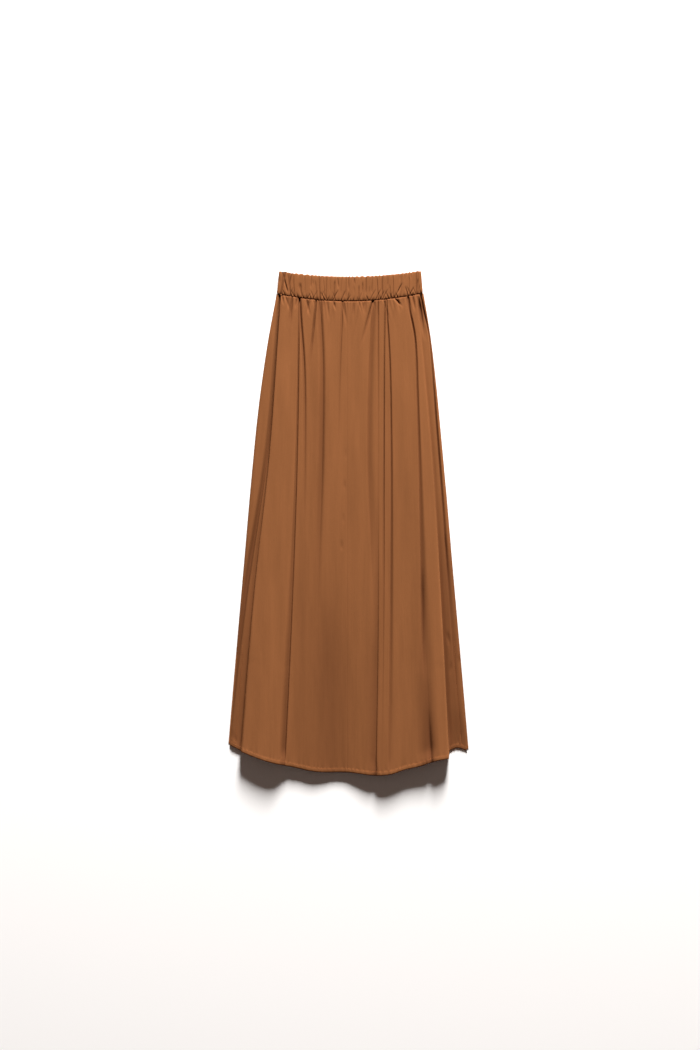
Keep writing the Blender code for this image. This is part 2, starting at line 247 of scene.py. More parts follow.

# Creases, in millimetres: where each starts and ends across the skirt and down from the
# waist seam, its depth (below zero is a ridge) and its width. One that starts at the seam is deepest there.
Crease = namedtuple("Crease", "x0 fall0 x1 fall1 depth width")
FRONT_CREASES = (
    Crease(-61, 0, -76, 150, 4.4, 1.7),
    Crease(-9, 0, -2, 56, 1.6, 2.2),
    Crease(-29, 0, -24, 19, 2.4, 1.7),
    Crease(-97, 0, -102, 24, 2.6, 1.9),
    Crease(45.5, 0, 21, 96, 3.6, 2.0),
    Crease(87, 0, 102, 19, 2.6, 1.5),
    Crease(92, 0, 97, 30, 1.8, 2.0),
    Crease(119, 0, 125, 34, 3.0, 2.0),
    Crease(129.5, 1, 143, 92, 7.5, 2.5),
    Crease(133, 2, 154, 96, 3.4, 1.9),
    Crease(137, 12, 147, 100, 2.0, 2.0),
    Crease(112, 0, 118, 40, 2.4, 1.8),
    Crease(-218, 842, -209, 852, 1.6, 1.8),
    Crease(-222, 834, -216, 846, 1.4, 1.8),
    Crease(211, 838, 219, 828, 1.5, 1.8),
    Crease(206, 850, 214, 842, 1.2, 1.8),
    Crease(-108, 0, -113, 62, 2.8, 2.4),
    Crease(-121, 0, -109, 34, 1.5, 1.9),
    Crease(-126, 0, -124, 20, 2.4, 1.7),
    Crease(-113, 0, -121, 38, 1.2, 1.9),
    Crease(-80, 0, -72, 36, 2.2, 1.9),
    Crease(-73, 0, -78, 30, 1.8, 1.8),
    Crease(-41, 0, -36, 42, 1.7, 2.0),
    Crease(-47, 0, -53, 34, 2.0, 1.8),
    Crease(10, 0, 7, 34, 1.5, 1.9),
    Crease(25, 0, 30, 27, 1.7, 1.8),
    Crease(33, 0, 30, 40, 1.5, 2.0),
    Crease(103, 0, 101, 26, 1.6, 1.8),
    Crease(-8, 283, -3, 295, 1.1, 2.4),
    Crease(-9, 346, -4, 358, 1.2, 2.4),
    Crease(-13, 406, -7, 417, 1.1, 2.4),
    Crease(-15, 459, -9, 470, 1.1, 2.4),
    Crease(-58, 90, -60, 560, 1.0, 16.0),
    Crease(12, 190, 16, 520, -1.0, 11.0),
    Crease(41, 540, 44, 1150, 0.9, 12.0),
    Crease(150, 770, 169, 1080, 3.4, 3.4),
    Crease(-88, 420, -92, 1150, 0.8, 12.0),
    Crease(104, 90, 113, 480, -1.4, 13.0),
    Crease(-118, 95, -152, 390, -1.4, 12.0),
    Crease(-40, 480, -30, 1350, 2.5, 30.0),
    Crease(138.4, 500, 141, 740, 3.2, 3.6),
    Crease(181, 440, 191, 580, 2.2, 2.2),
    Crease(187, 640, 193, 672, 1.6, 2.6),
    Crease(196, 700, 190, 724, 1.2, 2.4),
    Crease(-150, 520, -166, 860, -1.2, 14.0),
)

# Low ridges of the back, where it doesn't lie quite flat
BACK_CREASES = (
    Crease(-92, 0, -104, 120, -0.9, 4.0),
    Crease(-58, 0, -52, 96, -0.8, 3.6),
    Crease(-24, 0, -30, 140, -0.9, 4.2),
    Crease(8, 0, 12, 84, -0.7, 3.4),
    Crease(52, 0, 47, 130, -0.9, 4.0),
    Crease(88, 0, 97, 110, -0.8, 3.8),
    Crease(-150, 560, -168, 850, -1.3, 8.0),
    Crease(-66, 610, -74, 870, -1.2, 9.0),
    Crease(20, 520, 26, 880, -1.4, 8.0),
    Crease(118, 590, 132, 860, -1.3, 9.0),
)

# Random draws of the gathers and of the stitches' lengths
BAND_GATHER_SEED = 11
PANEL_GATHER_SEED = 23
FRONT_STITCH_SEED = 5
BACK_STITCH_SEED = 9

# How finely the cloth is drawn. Near the hem its rows are millimetres up from the edge.
FRONT_ROWS = 176
FRONT_COLUMNS = 224
BACK_ROWS = 120
BACK_COLUMNS = 260
HEM_ROWS = (13.0, 11.0, 9.6, 8.9, 8.3, 7.7, 7.1, 6.4, 5.0, 3.4, 2.0, 1.1, 0.5, 0.0)
HEM_ROWS_FROM = 15 * MM
BAND_FRONT_COLUMNS = 470
BAND_BACK_COLUMNS = 260


class SkirtSizes(bpy.types.PropertyGroup):
    """Sizes of the cloth, its gathers and its sewing."""

    cloth: FloatProperty(
        name="Cloth thickness",
        description="Thickness of the poplin shell",
        default=0.45 * MM,
        unit="LENGTH",
    )
    band_gathers: IntProperty(
        name="Waistband gathers",
        description="Furrows across the front of the waistband",
        default=40,
    )
    band_gather_depth: FloatProperty(
        name="Waistband gather depth",
        description="Depth of the deepest furrow in the waistband",
        default=1.5 * MM,
        unit="LENGTH",
    )
    panel_gathers: IntProperty(
        name="Panel gathers",
        description="Gathers that run down from the waist seam across the front",
        default=56,
    )
    panel_gather_depth: FloatProperty(
        name="Panel gather depth",
        description="Depth of the deepest gather below the waist seam",
        default=1.7 * MM,
        unit="LENGTH",
    )
    hem: FloatProperty(
        name="Hem width",
        description="Width of the turned and stitched hem",
        default=8.5 * MM,
        unit="LENGTH",
    )
    slit_hem: FloatProperty(
        name="Slit hem width",
        description="Width of the turned edge of a side slit",
        default=10 * MM,
        unit="LENGTH",
    )
    stitch: FloatProperty(
        name="Stitch length",
        description="Length of one topstitch",
        default=2.9 * MM,
        unit="LENGTH",
    )
    stitch_gap: FloatProperty(
        name="Stitch gap",
        description="Gap between two topstitches",
        default=0.6 * MM,
        unit="LENGTH",
    )
    thread: FloatProperty(
        name="Thread diameter",
        description="Diameter of the topstitching thread",
        default=0.55 * MM,
        unit="LENGTH",
    )


def linear(hex_colour):
    """An sRGB colour written #rrggbb as linear red, green and blue."""
    parts = [int(hex_colour[i : i + 2], 16) / 255 for i in (1, 3, 5)]
    return tuple(p / 12.92 if p <= 0.04045 else ((p + 0.055) / 1.055) ** 2.4 for p in parts)


class SkirtColours(bpy.types.PropertyGroup):
    """Colours of the cloth, the thread and the studio."""

    cloth: FloatVectorProperty(
        name="Cloth",
        description="Caramel of the dyed poplin",
        subtype="COLOR",
        size=3,
        default=linear("#7f5030"),
    )
    # Painted shade: the fold_shade attribute mixes this darker colour into the cloth in folds, creases and
    # pleats, on the strips beside the folded sheet and under the waist seam, where shade falls
    fold: FloatVectorProperty(
        name="Folds",
        description="Deeper tone of the cloth inside its folds",
        subtype="COLOR",
        size=3,
        default=linear("#5a3520"),
    )
    thread: FloatVectorProperty(
        name="Thread",
        description="Topstitching thread, a little brighter than the cloth",
        subtype="COLOR",
        size=3,
        default=linear("#9a5c33"),
    )
    floor: FloatVectorProperty(
        name="Floor",
        description="Pale studio floor",
        subtype="COLOR",
        size=3,
        default=linear("#f8f6f4"),
    )


# Curves and surfaces shared with the solids


def smooth(share):
    """Eases from 0 to 1 as share does."""
    share = np.clip(share, 0.0, 1.0)
    return share * share * (3 - 2 * share)


def bell(off, half):
    """1 in the middle, fading out to both sides over this half width."""
    return np.exp(-((off / half) ** 2))


def ripples(x, pitch, *bends):
    """Uneven ripples from -1 to 1: their pitch, and each bend's strength and pitch, in millimetres."""
    phase = x / (pitch * MM)
    for strength, bend in bends:
        phase = phase + strength * np.sin(x / (bend * MM))
    return np.sin(phase)


def through(knots, values, at):
    """A smooth curve through a table's values."""
    knots, values, at = (np.asarray(v, float) for v in (knots, values, at))
    slopes = np.gradient(values, knots)
    i = np.clip(np.searchsorted(knots, at, side="right") - 1, 0, len(knots) - 2)
    span = knots[i + 1] - knots[i]
    s = np.clip((at - knots[i]) / span, 0.0, 1.0)
    return (
        (1 + 2 * s) * (1 - s) ** 2 * values[i]
        + s * (1 - s) ** 2 * span * slopes[i]
        + s * s * (3 - 2 * s) * values[i + 1]
        + s * s * (s - 1) * span * slopes[i + 1]
    )


def half_width(down):
    """Half the skirt's width at a share of its length."""
    return MM * through([w.down for w in WIDTHS], [w.half for w in WIDTHS], down)


def front_half(down):
    """Below a slit's top the front's edge lies inside the back's."""
    return half_width(down) - SLIT_SHOW * smooth((down - SLIT_TOP) / SLIT_EASE)


def seam_y(across):
    return SEAM_Y - SEAM_SAG * (1 - across**2)


def top_y(across):
    return TOP_Y - TOP_SAG * (1 - across**2)


def hem_y(across):
    return MM * through([h.across for h in HEMS], [h.y for h in HEMS], across)


def fold_named(name):
    return next(f for f in FOLDS if f.name == name)


def fold_x(fold, down):
    places = [fold.waist, fold.upper, fold.lower, fold.hem]
    kick = fold.kick * bell(down * LENGTH, fold.fade * MM)
    return MM * (through(FOLD_KNOTS, places, down) + kick)


def fold_depth(fold, down):
    """A fold's depth, and none where the curve through its depths goes below zero."""
    depths = [fold.d0, fold.d1, fold.d2, fold.d3]
    return MM * np.clip(through(FOLD_KNOTS, depths, down), 0.0, None)


def hem_step(x, down):
    """How much higher the hem ends past the front's right folded edge."""
    past = x - fold_x(fold_named("right_sheet"), down)
    return SIDE_HEM_STEP * smooth(past / STEP_EASE + 0.5) * smooth(2 * down - 1)


def rise_shares(down):
    """How much of the waist's, the middle's and the hem's height holds at this share of the length."""
    to_middle = smooth(down / MIDDLE_AT)
    to_hem = np.clip((down - FLARE_FROM) / (1 - FLARE_FROM), 0.0, 1.0) ** FLARE_POWER
    return (1 - to_middle), to_middle * (1 - to_hem), to_hem


def sheet_height(across, down):
    knots = [r.across for r in RISES]
    columns = ([r.waist for r in RISES], [r.middle for r in RISES], [r.hem for r in RISES])
    return MM * sum(
        share * through(knots, column, across)
        for share, column in zip(rise_shares(down), columns)
    )


def strip_height(down):
    heights = (STRIP.waist, STRIP.middle, STRIP.hem)
    return MM * sum(s * h for s, h in zip(rise_shares(down), heights))


def rounded(distance, radius):
    """The rise of a rounded edge, from 0 at the edge to 1 a radius inside it."""
    share = np.clip(distance / radius, 0.0, 1.0)
    return np.sqrt(1 - (1 - share) ** 2)


def soft_floor(height, ease):
    """Keeps a height from going below zero, with a soft corner."""
    return 0.5 * (height + np.sqrt(height**2 + ease**2))


def waist_lean(across, down):
    """How far the outer parts stand to the right near the waist."""
    return WAIST_LEAN * (1 - smooth(down / LEAN_FADE)) * np.abs(across) ** 4


def mouth_dip(x, rise, down):
    """The hem's small mouth: widest and deepest at the edge."""
    grown = np.clip(1 - rise / MOUTH_LENGTH, 0.0, 1.0)
    off = x - fold_x(fold_named("right_mouth"), down)
    width = MOUTH_WIDTH * (MOUTH_TIP + (1 - MOUTH_TIP) * grown)
    return MOUTH_DEPTH * smooth(grown) * bell(off, width)


def fold_dip(fold, x, down):
    """How far the cloth drops into a fold: a long slope on one side, a crisp edge on the other."""
    off = (x - fold_x(fold, down)) * fold.lap
    widened = smooth((down - WIDEN_FROM) / (1 - WIDEN_FROM))
    width = MM * (fold.narrow + (fold.wide - fold.narrow) * widened)
    slope = 0.5 + 0.5 * np.cos(math.pi * np.clip(off / width, -1.0, 0.0))
    crisp = np.clip(1 - off / (fold.edge * MM), 0.0, 1.0) ** CRISP_POWER
    return fold_depth(fold, down) * np.where(off < 0, slope, crisp)


def fold_lap(fold, x, down):
    """How far the lapping sheet's edge is carried sideways over its fold."""
    off = (x - fold_x(fold, down)) * fold.lap
    edge = fold.edge * MM
    carried = smooth(off / edge) * np.exp(-np.clip(off - edge, 0.0, None) / LAP_FADE)
    strength = np.clip(fold_depth(fold, down) / FULL_LAP, 0.0, 1.0)
    return -fold.lap * fold.over * MM * strength * carried


def crease_dip(crease, x, fall):
    """A soft trough or ridge along a straight line, fading at its ends but not at the waist seam."""
    start = np.array([crease.x0, crease.fall0]) * MM
    along = np.array([crease.x1, crease.fall1]) * MM - start
    length = np.hypot(*along)
    along = along / length
    t = ((x - start[0]) * along[0] + (fall - start[1]) * along[1]) / length
    off = (x - start[0]) * along[1] - (fall - start[1]) * along[0]
    begun = 1.0 if crease.fall0 == 0 else smooth(t / 0.3)
    ends = begun * smooth((1 - t) / 0.8)
    return crease.depth * MM * ends * bell(off, crease.width * MM)


def hem_share(rise, sizes):
    """1 on the turned hem and 0 above it."""
    return smooth((sizes.hem + 0.5 * HEM_EASE - rise) / HEM_EASE)


def hem_stitch_row(rise, sizes):
    """1 along the hem's row of topstitches and 0 away from it."""
    return bell(rise - sizes.hem + STITCH_INSET, STITCH_HALF)


# Meshes

SHARP_ANGLE = math.radians(62)


def grid_normals(points):
    """Unit normals of a grid of points, rows first, facing up where the rows run down the skirt."""
    across = np.gradient(points, axis=1)
    down = np.gradient(points, axis=0)
    normals = np.cross(down, across)
    return normals / np.linalg.norm(normals, axis=2, keepdims=True)


def cloth_uv(points):
    """Distances along the cloth, across and down, in metres."""
    across = np.linalg.norm(np.diff(points, axis=1), axis=2).mean(axis=0)
    down = np.linalg.norm(np.diff(points, axis=0), axis=2).mean(axis=1)
    u = np.concatenate([[0.0], np.cumsum(across)])
    v = np.concatenate([[0.0], np.cumsum(down)])
    return np.stack(np.broadcast_arrays(u[None, :], v[:, None]), axis=2)


def add_object(name, data):
    made = bpy.data.objects.new(name, data)
    bpy.context.scene.collection.objects.link(made)
    return made


def add_mesh(name, points, faces, uv, shade, material):
    """A smooth mesh piece with its cloth UV map and its painted fold shade."""
    mesh = bpy.data.meshes.new(name)
    mesh.from_pydata(points.tolist(), [], faces)
    loops = np.empty(len(mesh.loops), dtype=np.int64)
    mesh.loops.foreach_get("vertex_index", loops)
    layer = mesh.uv_layers.new(name="cloth")
    layer.data.foreach_set("uv", uv[loops].ravel())
    attribute = mesh.attributes.new("fold_shade", "FLOAT", "POINT")
    attribute.data.foreach_set("value", shade)
    mesh.shade_smooth()
    mesh.set_sharp_from_angle(angle=SHARP_ANGLE)
    mesh.materials.append(material)
    return add_object(name, mesh)


def sheet_faces(rows, columns):
    """Faces of a closed wall between two grids, the outer one first."""
    under = rows * columns
    index = np.arange(under).reshape(rows, columns)
    a, b = index[:-1, :-1], index[:-1, 1:]
    c, d = index[1:, 1:], index[1:, :-1]
    outer = np.stack([a, d, c, b], axis=2).reshape(-1, 4)
    inner = np.stack([a, b, c, d], axis=2).reshape(-1, 4) + under
    rim = np.concatenate([index[0, :], index[1:, -1], index[-1, -2::-1], index[-2:0:-1, 0]])
    after = np.roll(rim, -1)
    edge = np.stack([rim, after, after + under, rim + under], axis=1)
    return np.concatenate([outer, inner, edge]).tolist()


def sheet_piece(name, points, thickness, shade, material, lowest=0.0):
    """A closed shell of cloth: a grid of points and the same grid moved in by the cloth's thickness."""
    rows, columns = points.shape[:2]
    inner = points - grid_normals(points) * thickness[..., None]
    inner[..., 2] = np.maximum(inner[..., 2], lowest)
    uv = cloth_uv(points).reshape(-1, 2)
    both = np.concatenate([points.reshape(-1, 3), inner.reshape(-1, 3)])
    shades = np.tile(shade.reshape(-1), 2)
    return add_mesh(name, both, sheet_faces(rows, columns), np.tile(uv, (2, 1)), shades, material)


# Front and back panels


def spread(total, ranges):
    """Shares from 0 to 1 whose spacing follows ranges of (until, weight)."""
    until = np.array([0.0] + [r[0] for r in ranges])
    weight = np.array([r[1] for r in ranges])
    reach = np.concatenate([[0.0], np.cumsum(np.diff(until) * weight)])
    return np.interp(np.linspace(0, reach[-1], total), reach, until)


def panel_rows(length_rows):
    """Shares of the length for the rows of a panel, close together at the seam and at the hem."""
    last = 1 - HEM_ROWS_FROM / LENGTH
    upper = spread(length_rows, ((0.03, 5.0), (0.16, 2.2), (last, 0.75)))
    return np.concatenate([upper, 1 - np.array(HEM_ROWS) * MM / LENGTH])


def folded_columns(folds, first, last, down):
    """Places across a front panel, close together at its folds."""
    sample = np.linspace(first, last, 900)
    density = np.full_like(sample, 1.0)
    for fold in folds:
        off = (sample - float(fold_x(fold, down))) * fold.lap
        density += 2.4 * bell(off - 0.6 * MM, 3.5 * MM)
    reach = np.concatenate([[0.0], np.cumsum((density[1:] + density[:-1]) / 2)])
    return np.interp(np.linspace(0, reach[-1], FRONT_COLUMNS), reach, sample)


# Gathers below the waist seam: half the width that they fill, in millimetres, how much they fan out, how
# far down the longest ones reach, and how far down they double in width
GATHER_HALF = 136
GATHER_FAN = 0.13
GATHERS_END = 150 * MM
GATHER_WIDENS = 60 * MM


def panel_gathers(x, fall, sizes):
    """Gathers that run down from the waist seam, uneven in place, slant, depth and length."""
    rng = np.random.default_rng(PANEL_GATHER_SEED)
    count = sizes.panel_gathers
    rows = (fall < GATHERS_END).any(axis=1)
    total = np.zeros_like(x)
    places = np.linspace(-GATHER_HALF, GATHER_HALF, count) + rng.uniform(-1.7, 1.7, count)
    slants = places / GATHER_HALF * GATHER_FAN + rng.uniform(-0.3, 0.3, count)
    depths = rng.uniform(0.3, 1.0, count) ** 1.3 * sizes.panel_gather_depth
    widths = rng.uniform(1.0, 2.0, count)
    lengths = rng.uniform(7, 26, count) + (rng.uniform(0, 1, count) > 0.7) * rng.uniform(15, 45, count)
    for place, slant, depth, width, length in zip(places, slants, depths, widths, lengths):
        off = x[rows] - (place * MM + slant * fall[rows])
        fade = np.exp(-((fall[rows] / (length * MM)) ** 1.5))
        widened = width * MM * (1 + fall[rows] / GATHER_WIDENS)
        total[rows] += depth * fade * bell(off, widened)
    return total


def front_points(side, sizes):
    """A front panel's outer points, rows from the seam to the hem, its painted shade and highlight, and its
    thickness.
    """
    folds = LEFT_FOLDS if side < 0 else RIGHT_FOLDS
    downs = panel_rows(FRONT_ROWS)
    rows = []
    for down in downs:
        edge = float(front_half(down))
        first, last = (-edge, CENTRE_SEAM_X) if side < 0 else (CENTRE_SEAM_X, edge)
        rows.append(folded_columns(folds, first, last, down))
    x = np.array(rows)
    down = downs[:, None]
    half = front_half(down)
    across = x / half
    lean = waist_lean(across, down)
    top = seam_y((x + lean) / half) - SEAM_GAP / 2
    hem = hem_y(across) + hem_step(x, down)
    y = top + (hem - top) * down
    fall, rise = top - y, y - hem

    sheet = sheet_height(np.clip(across, -1, 1), down)
    strip = strip_height(down)
    beyond = x - fold_x(fold_named("right_sheet"), down)
    inside = np.minimum(x - fold_x(fold_named("left_sheet"), down), -beyond)
    z = strip + (sheet - strip) * rounded(inside, SHEET_EDGE_ROUND)
    dips = sum(fold_dip(fold, x, down) for fold in FOLDS)
    mouth = mouth_dip(x, rise, down)
    settled = STRIP_SETTLES * smooth(beyond / SETTLE_EASE) * smooth((down - 0.9) / 0.1)
    lap = sum(fold_lap(fold, x, down) for fold in FOLDS)
    creases = sum(crease_dip(c, x, fall) for c in FRONT_CREASES)
    gathers = panel_gathers(x, fall, sizes)
    bridged = 1 - HEM_BRIDGES * smooth((BRIDGE_FROM - rise) / BRIDGE_EASE)
    z = z - dips * bridged - MOUTH_CUT * mouth - creases - gathers - settled
    puffs = 0.5 + 0.5 * ripples(x, 1.2, (2.5, 7), (1.3, 3.1))
    z = z - (0.1 + 0.5 * puffs) * MM * np.exp(-fall / DENT_FADE)
    broken = 0.5 + 0.5 * ripples(x, 1.9, (2.2, 6.3), (1, 15))
    z = z - (0.8 + 0.9 * broken) * MM * bell(fall, GROOVE_HALF)
    z = z - CENTRE_GROOVE * bell(x - CENTRE_SEAM_X, CENTRE_GROOVE_HALF)
    edge = rounded(half - np.abs(x), EDGE_ROUND)
    z = LOWEST_FRONT + soft_floor(z - LOWEST_FRONT, FLOOR_EASE) * edge

    hemmed = hem_share(rise, sizes)
    wave = ripples(x, 1.3, (2.2, 8)) * np.sin(x / (21 * MM) + 1)
    pucker = ripples(x, 1.7, (1.9, 11), (1.2, 4.7))
    pulled = bell(rise - 0.9 * sizes.hem, 0.75 * sizes.hem)
    z = z + HEM_RAISED * hemmed + HEM_UNEVEN * wave * hemmed + HEM_UNEVEN * pucker * pulled
    z = z - STITCH_GROOVE * hem_stitch_row(rise, sizes)
    slit_row = bell(half - np.abs(x) - sizes.slit_hem, 0.8 * MM)
    slit_row = slit_row * smooth((down - SLIT_TOP) / SLIT_EASE)
    z = z - STITCH_GROOVE * slit_row
    z = z - 0.8 * MM * bell(rise, 0.9 * MM)

    # Painted shade on the strips beside the folded sheet, strongest at the sheet's edge, and along a slit's
    # row of topstitches
    near = np.exp(-np.clip(-inside, 0, None) / STRIP_PAINTED_SHADE_FADE)
    beside = np.where(x < 0, 0.26 + 0.06 * near, 0.44 + 0.14 * near)
    beside = np.where(inside < 0, beside, 0.0) * smooth((down - 0.42) / 0.2) + 0.25 * slit_row
    # Painted shade: the deeper a fold, crease, gather or the hem's mouth, the more of the darker fold colour
    # goes into the cloth
    depth = np.clip(dips + 1.6 * mouth + 1.3 * creases + 1.1 * gathers, 0, None)
    # Painted shade just below the waist seam, which darkens the faces that the low key lights brightly
    at_seam = 0.22 * bell(fall, 4 * MM) + 0.45 * bell(fall, 1.6 * MM)
    shade = 1 - np.exp(-depth / SHADE_DEPTH) * (1 - beside) * (1 - at_seam)
    # Painted highlight: a pale line along the front sheet's right edge, taken off the shade so that it
    # lightens the cloth
    rim = bell(beyond + 1.2 * MM, 1.1 * MM) * smooth((down - 0.45) / 0.2)
    points = np.stack([x + lap * edge + lean, y, z], axis=2)
    return points, shade - PAINTED_RIM_HIGHLIGHT * rim, sizes.cloth * (1 + HEM_THICKER * hemmed)


# The back's low ridges fade out this near its sides
RIDGES_FADE = 25 * MM


def back_points(sizes):
    """The back panel's upper points, rows from the seam to the hem, its fold shade and its thickness."""
    downs = panel_rows(BACK_ROWS)[:, None]
    across = np.linspace(-1, 1, BACK_COLUMNS)[None, :] * np.ones_like(downs)
    half = half_width(downs)
    x = across * half
    lean = waist_lean(across, downs)
    top = seam_y((x + lean) / half) + BACK_TUCK
    hem = hem_y(across) + hem_step(x, downs) + BACK_HEM_UP
    y = top + (hem - top) * downs
    hemmed = hem_share(y - hem, sizes)
    ridges = -sum(crease_dip(c, x, top - y) for c in BACK_CREASES)
    inward = smooth((half - np.abs(x)) / RIDGES_FADE)
    z = sizes.cloth + ridges * inward + BACK_HEM_RAISED * hemmed
    z = z - BACK_STITCH_GROOVE * hem_stitch_row(y - hem, sizes)
    points = np.stack([x + lean, y, z], axis=2)
    return points, np.zeros_like(z), sizes.cloth * (1 + BACK_HEM_THICKER * hemmed)


# Waistband

# A pleat of the casing: its place halfway up, slant, bend and width in millimetres, its depth in metres, and
# the shares of the casing's height where it starts and ends
Pleat = namedtuple("Pleat", "place slant bend depth width start end")

# Crossed creases at the casing's left end and slanted ones near its right end, with depths in millimetres
BAND_END_PLEATS = (
    Pleat(-126.5, 9.0, 0.0, 3.2, 1.1, -0.2, 1.2),
    Pleat(-122.5, -12.0, 0.0, 3.2, 1.1, 0.1, 1.2),
    Pleat(-129.0, 3.0, 0.8, 2.6, 1.1, -0.3, 1.3),
    Pleat(-115.0, 10.0, 0.0, 2.4, 1.0, 0.35, 1.2),
    Pleat(97.0, 22.0, 0.0, 2.0, 1.2, 0.1, 0.62),
    Pleat(128.0, 5.0, 0.0, 1.9, 1.1, -0.2, 0.7),
)

# The casing's top edge stands up a little at its crossed creases
LUMP_X = -120 * MM
LUMP_HEIGHT = 1.3 * MM
LUMP_HALF = 4 * MM

# The casing's ruffled top edge: its mean rise, its unevenness, and how far each pleat draws it down
RUFFLE_RISE = 0.35 * MM
RUFFLE_UNEVEN = 0.85 * MM
PLEAT_DRAWS = 0.6

# The casing's deepest pleat, and the share of their depth that pleats have on its hidden side. Then how fast
# a pleat's painted shade grows with its depth, and how much of that painted shade the casing's inside has.
DEEPEST_PLEAT = 2.2 * MM
BACK_PLEATS = 0.6
PLEAT_SHADE_DEPTH = 2.4 * MM
INSIDE_SHADE = 0.3

# Half the widths, in millimetres, that pleats and slanted pairs fill, and how many fewer pairs there are
PLEATS_HALF = 131
PAIRS_HALF = 132
PAIRS_FEWER = 8


def band_pleats(sizes, seed):
    """Pleats of the casing: some hang from its top edge, and short slanted pairs stand on its seam."""
    rng = np.random.default_rng(seed)
    count = sizes.band_gathers
    pleats = []
    for place in np.linspace(-PLEATS_HALF, PLEATS_HALF, count) + rng.uniform(-2.8, 2.8, count):
        end = 1.3 if rng.uniform() < 0.75 else rng.uniform(0.6, 0.9)
        slant, bend = rng.uniform(-4.0, 4.0), rng.uniform(-1.2, 1.2)
        depth = sizes.band_gather_depth * rng.uniform(0.3, 1.0)
        width, start = rng.uniform(0.7, 1.5), rng.uniform(-0.3, 0.7)
        pleats.append(Pleat(place, slant, bend, depth, width, start, end))
    pairs = count - PAIRS_FEWER
    for place in np.linspace(-PAIRS_HALF, PAIRS_HALF, pairs) + rng.uniform(-3.2, 3.2, pairs):
        for lean in rng.choice([-1, 1], size=rng.integers(1, 3), replace=False):
            reach = rng.uniform(0.22, 0.5)
            middle = place + lean * 12 * reach * rng.uniform(0.3, 1.2)
            slant = lean * rng.uniform(8, 26)
            depth = sizes.band_gather_depth * rng.uniform(0.4, 1.0)
            pleats.append(Pleat(middle, slant, 0.0, depth, rng.uniform(0.7, 1.2), -0.4, reach))
    return pleats + [p._replace(depth=p.depth * MM) for p in BAND_END_PLEATS]


def band_relief(x, share, pleats):
    """Depth of the casing's pleats and stitch puckers at a share of its height."""
    total = np.zeros_like(x)
    for pleat in pleats:
        held = float(smooth((share - pleat.start) / 0.25) * smooth((pleat.end - share) / 0.22))
        if held > 0:
            middle = pleat.place + pleat.slant * (share - 0.5) + pleat.bend * math.sin(math.pi * share)
            total += pleat.depth * held * bell(x / MM - middle, pleat.width)
    puckers = 0.5 + 0.5 * ripples(x, 1.1, (3, 13), (1, 2.9))
    at_seam = (0.2 + 0.8 * puckers) * MM * bell(share, 0.09)
    at_top = 0.6 * MM * puckers * bell(1 - share, 0.1)
    return DEEPEST_PLEAT * np.tanh(total / DEEPEST_PLEAT) + at_seam + at_top


def band_loop(share, front_pleats, back_pleats):
    """Places round the flattened waistband: x, z, the outward direction, and the relief there."""
    half = BAND_SEAM_HALF + (TOP_HALF - BAND_SEAM_HALF) * share
    middle = BAND_SEAM_SHIFT + (TOP_SHIFT - BAND_SEAM_SHIFT) * share
    turn_at = half - BAND_REACH - BAND_WALL / 2
    front = np.linspace(-turn_at, turn_at, BAND_FRONT_COLUMNS)
    back = np.linspace(turn_at, -turn_at, BAND_BACK_COLUMNS)
    turn = np.linspace(0, math.pi, 14)[1:-1]
    right, left = turn_at + BAND_REACH * np.sin(turn), -turn_at - BAND_REACH * np.sin(turn)
    x = np.concatenate([front, right, back, left])
    nx = np.concatenate([0 * front, np.sin(turn), 0 * back, -np.sin(turn)])
    nz = np.concatenate([0 * front + 1, np.cos(turn), 0 * back - 1, -np.cos(turn)])
    z = BAND_MID_Z + BAND_REACH * nz
    over, under = band_relief(x, share, front_pleats), band_relief(x, share, back_pleats)
    dips = over * np.clip(nz, 0, 1) + BACK_PLEATS * under * np.clip(-nz, 0, 1)
    return x + middle, z, nx, nz, dips


def band_section():
    """The casing's wall in section: share of its height, share of half its wall outwards, and if outer."""
    outer = [(s, 1.0, True) for s in np.linspace(0.06, 0.94, 42)]
    turn = np.linspace(0, math.pi, 9)[1:-1]
    top = [(0.95 + 0.05 * math.sin(a), math.cos(a), math.cos(a) > 0.2) for a in turn]
    inner = [(s, -1.0, False) for s in np.linspace(0.94, 0.06, 7)]
    bottom = [(0.05 - 0.05 * math.sin(a), -math.cos(a), math.cos(a) < -0.2) for a in turn]
    return outer + top + inner + bottom


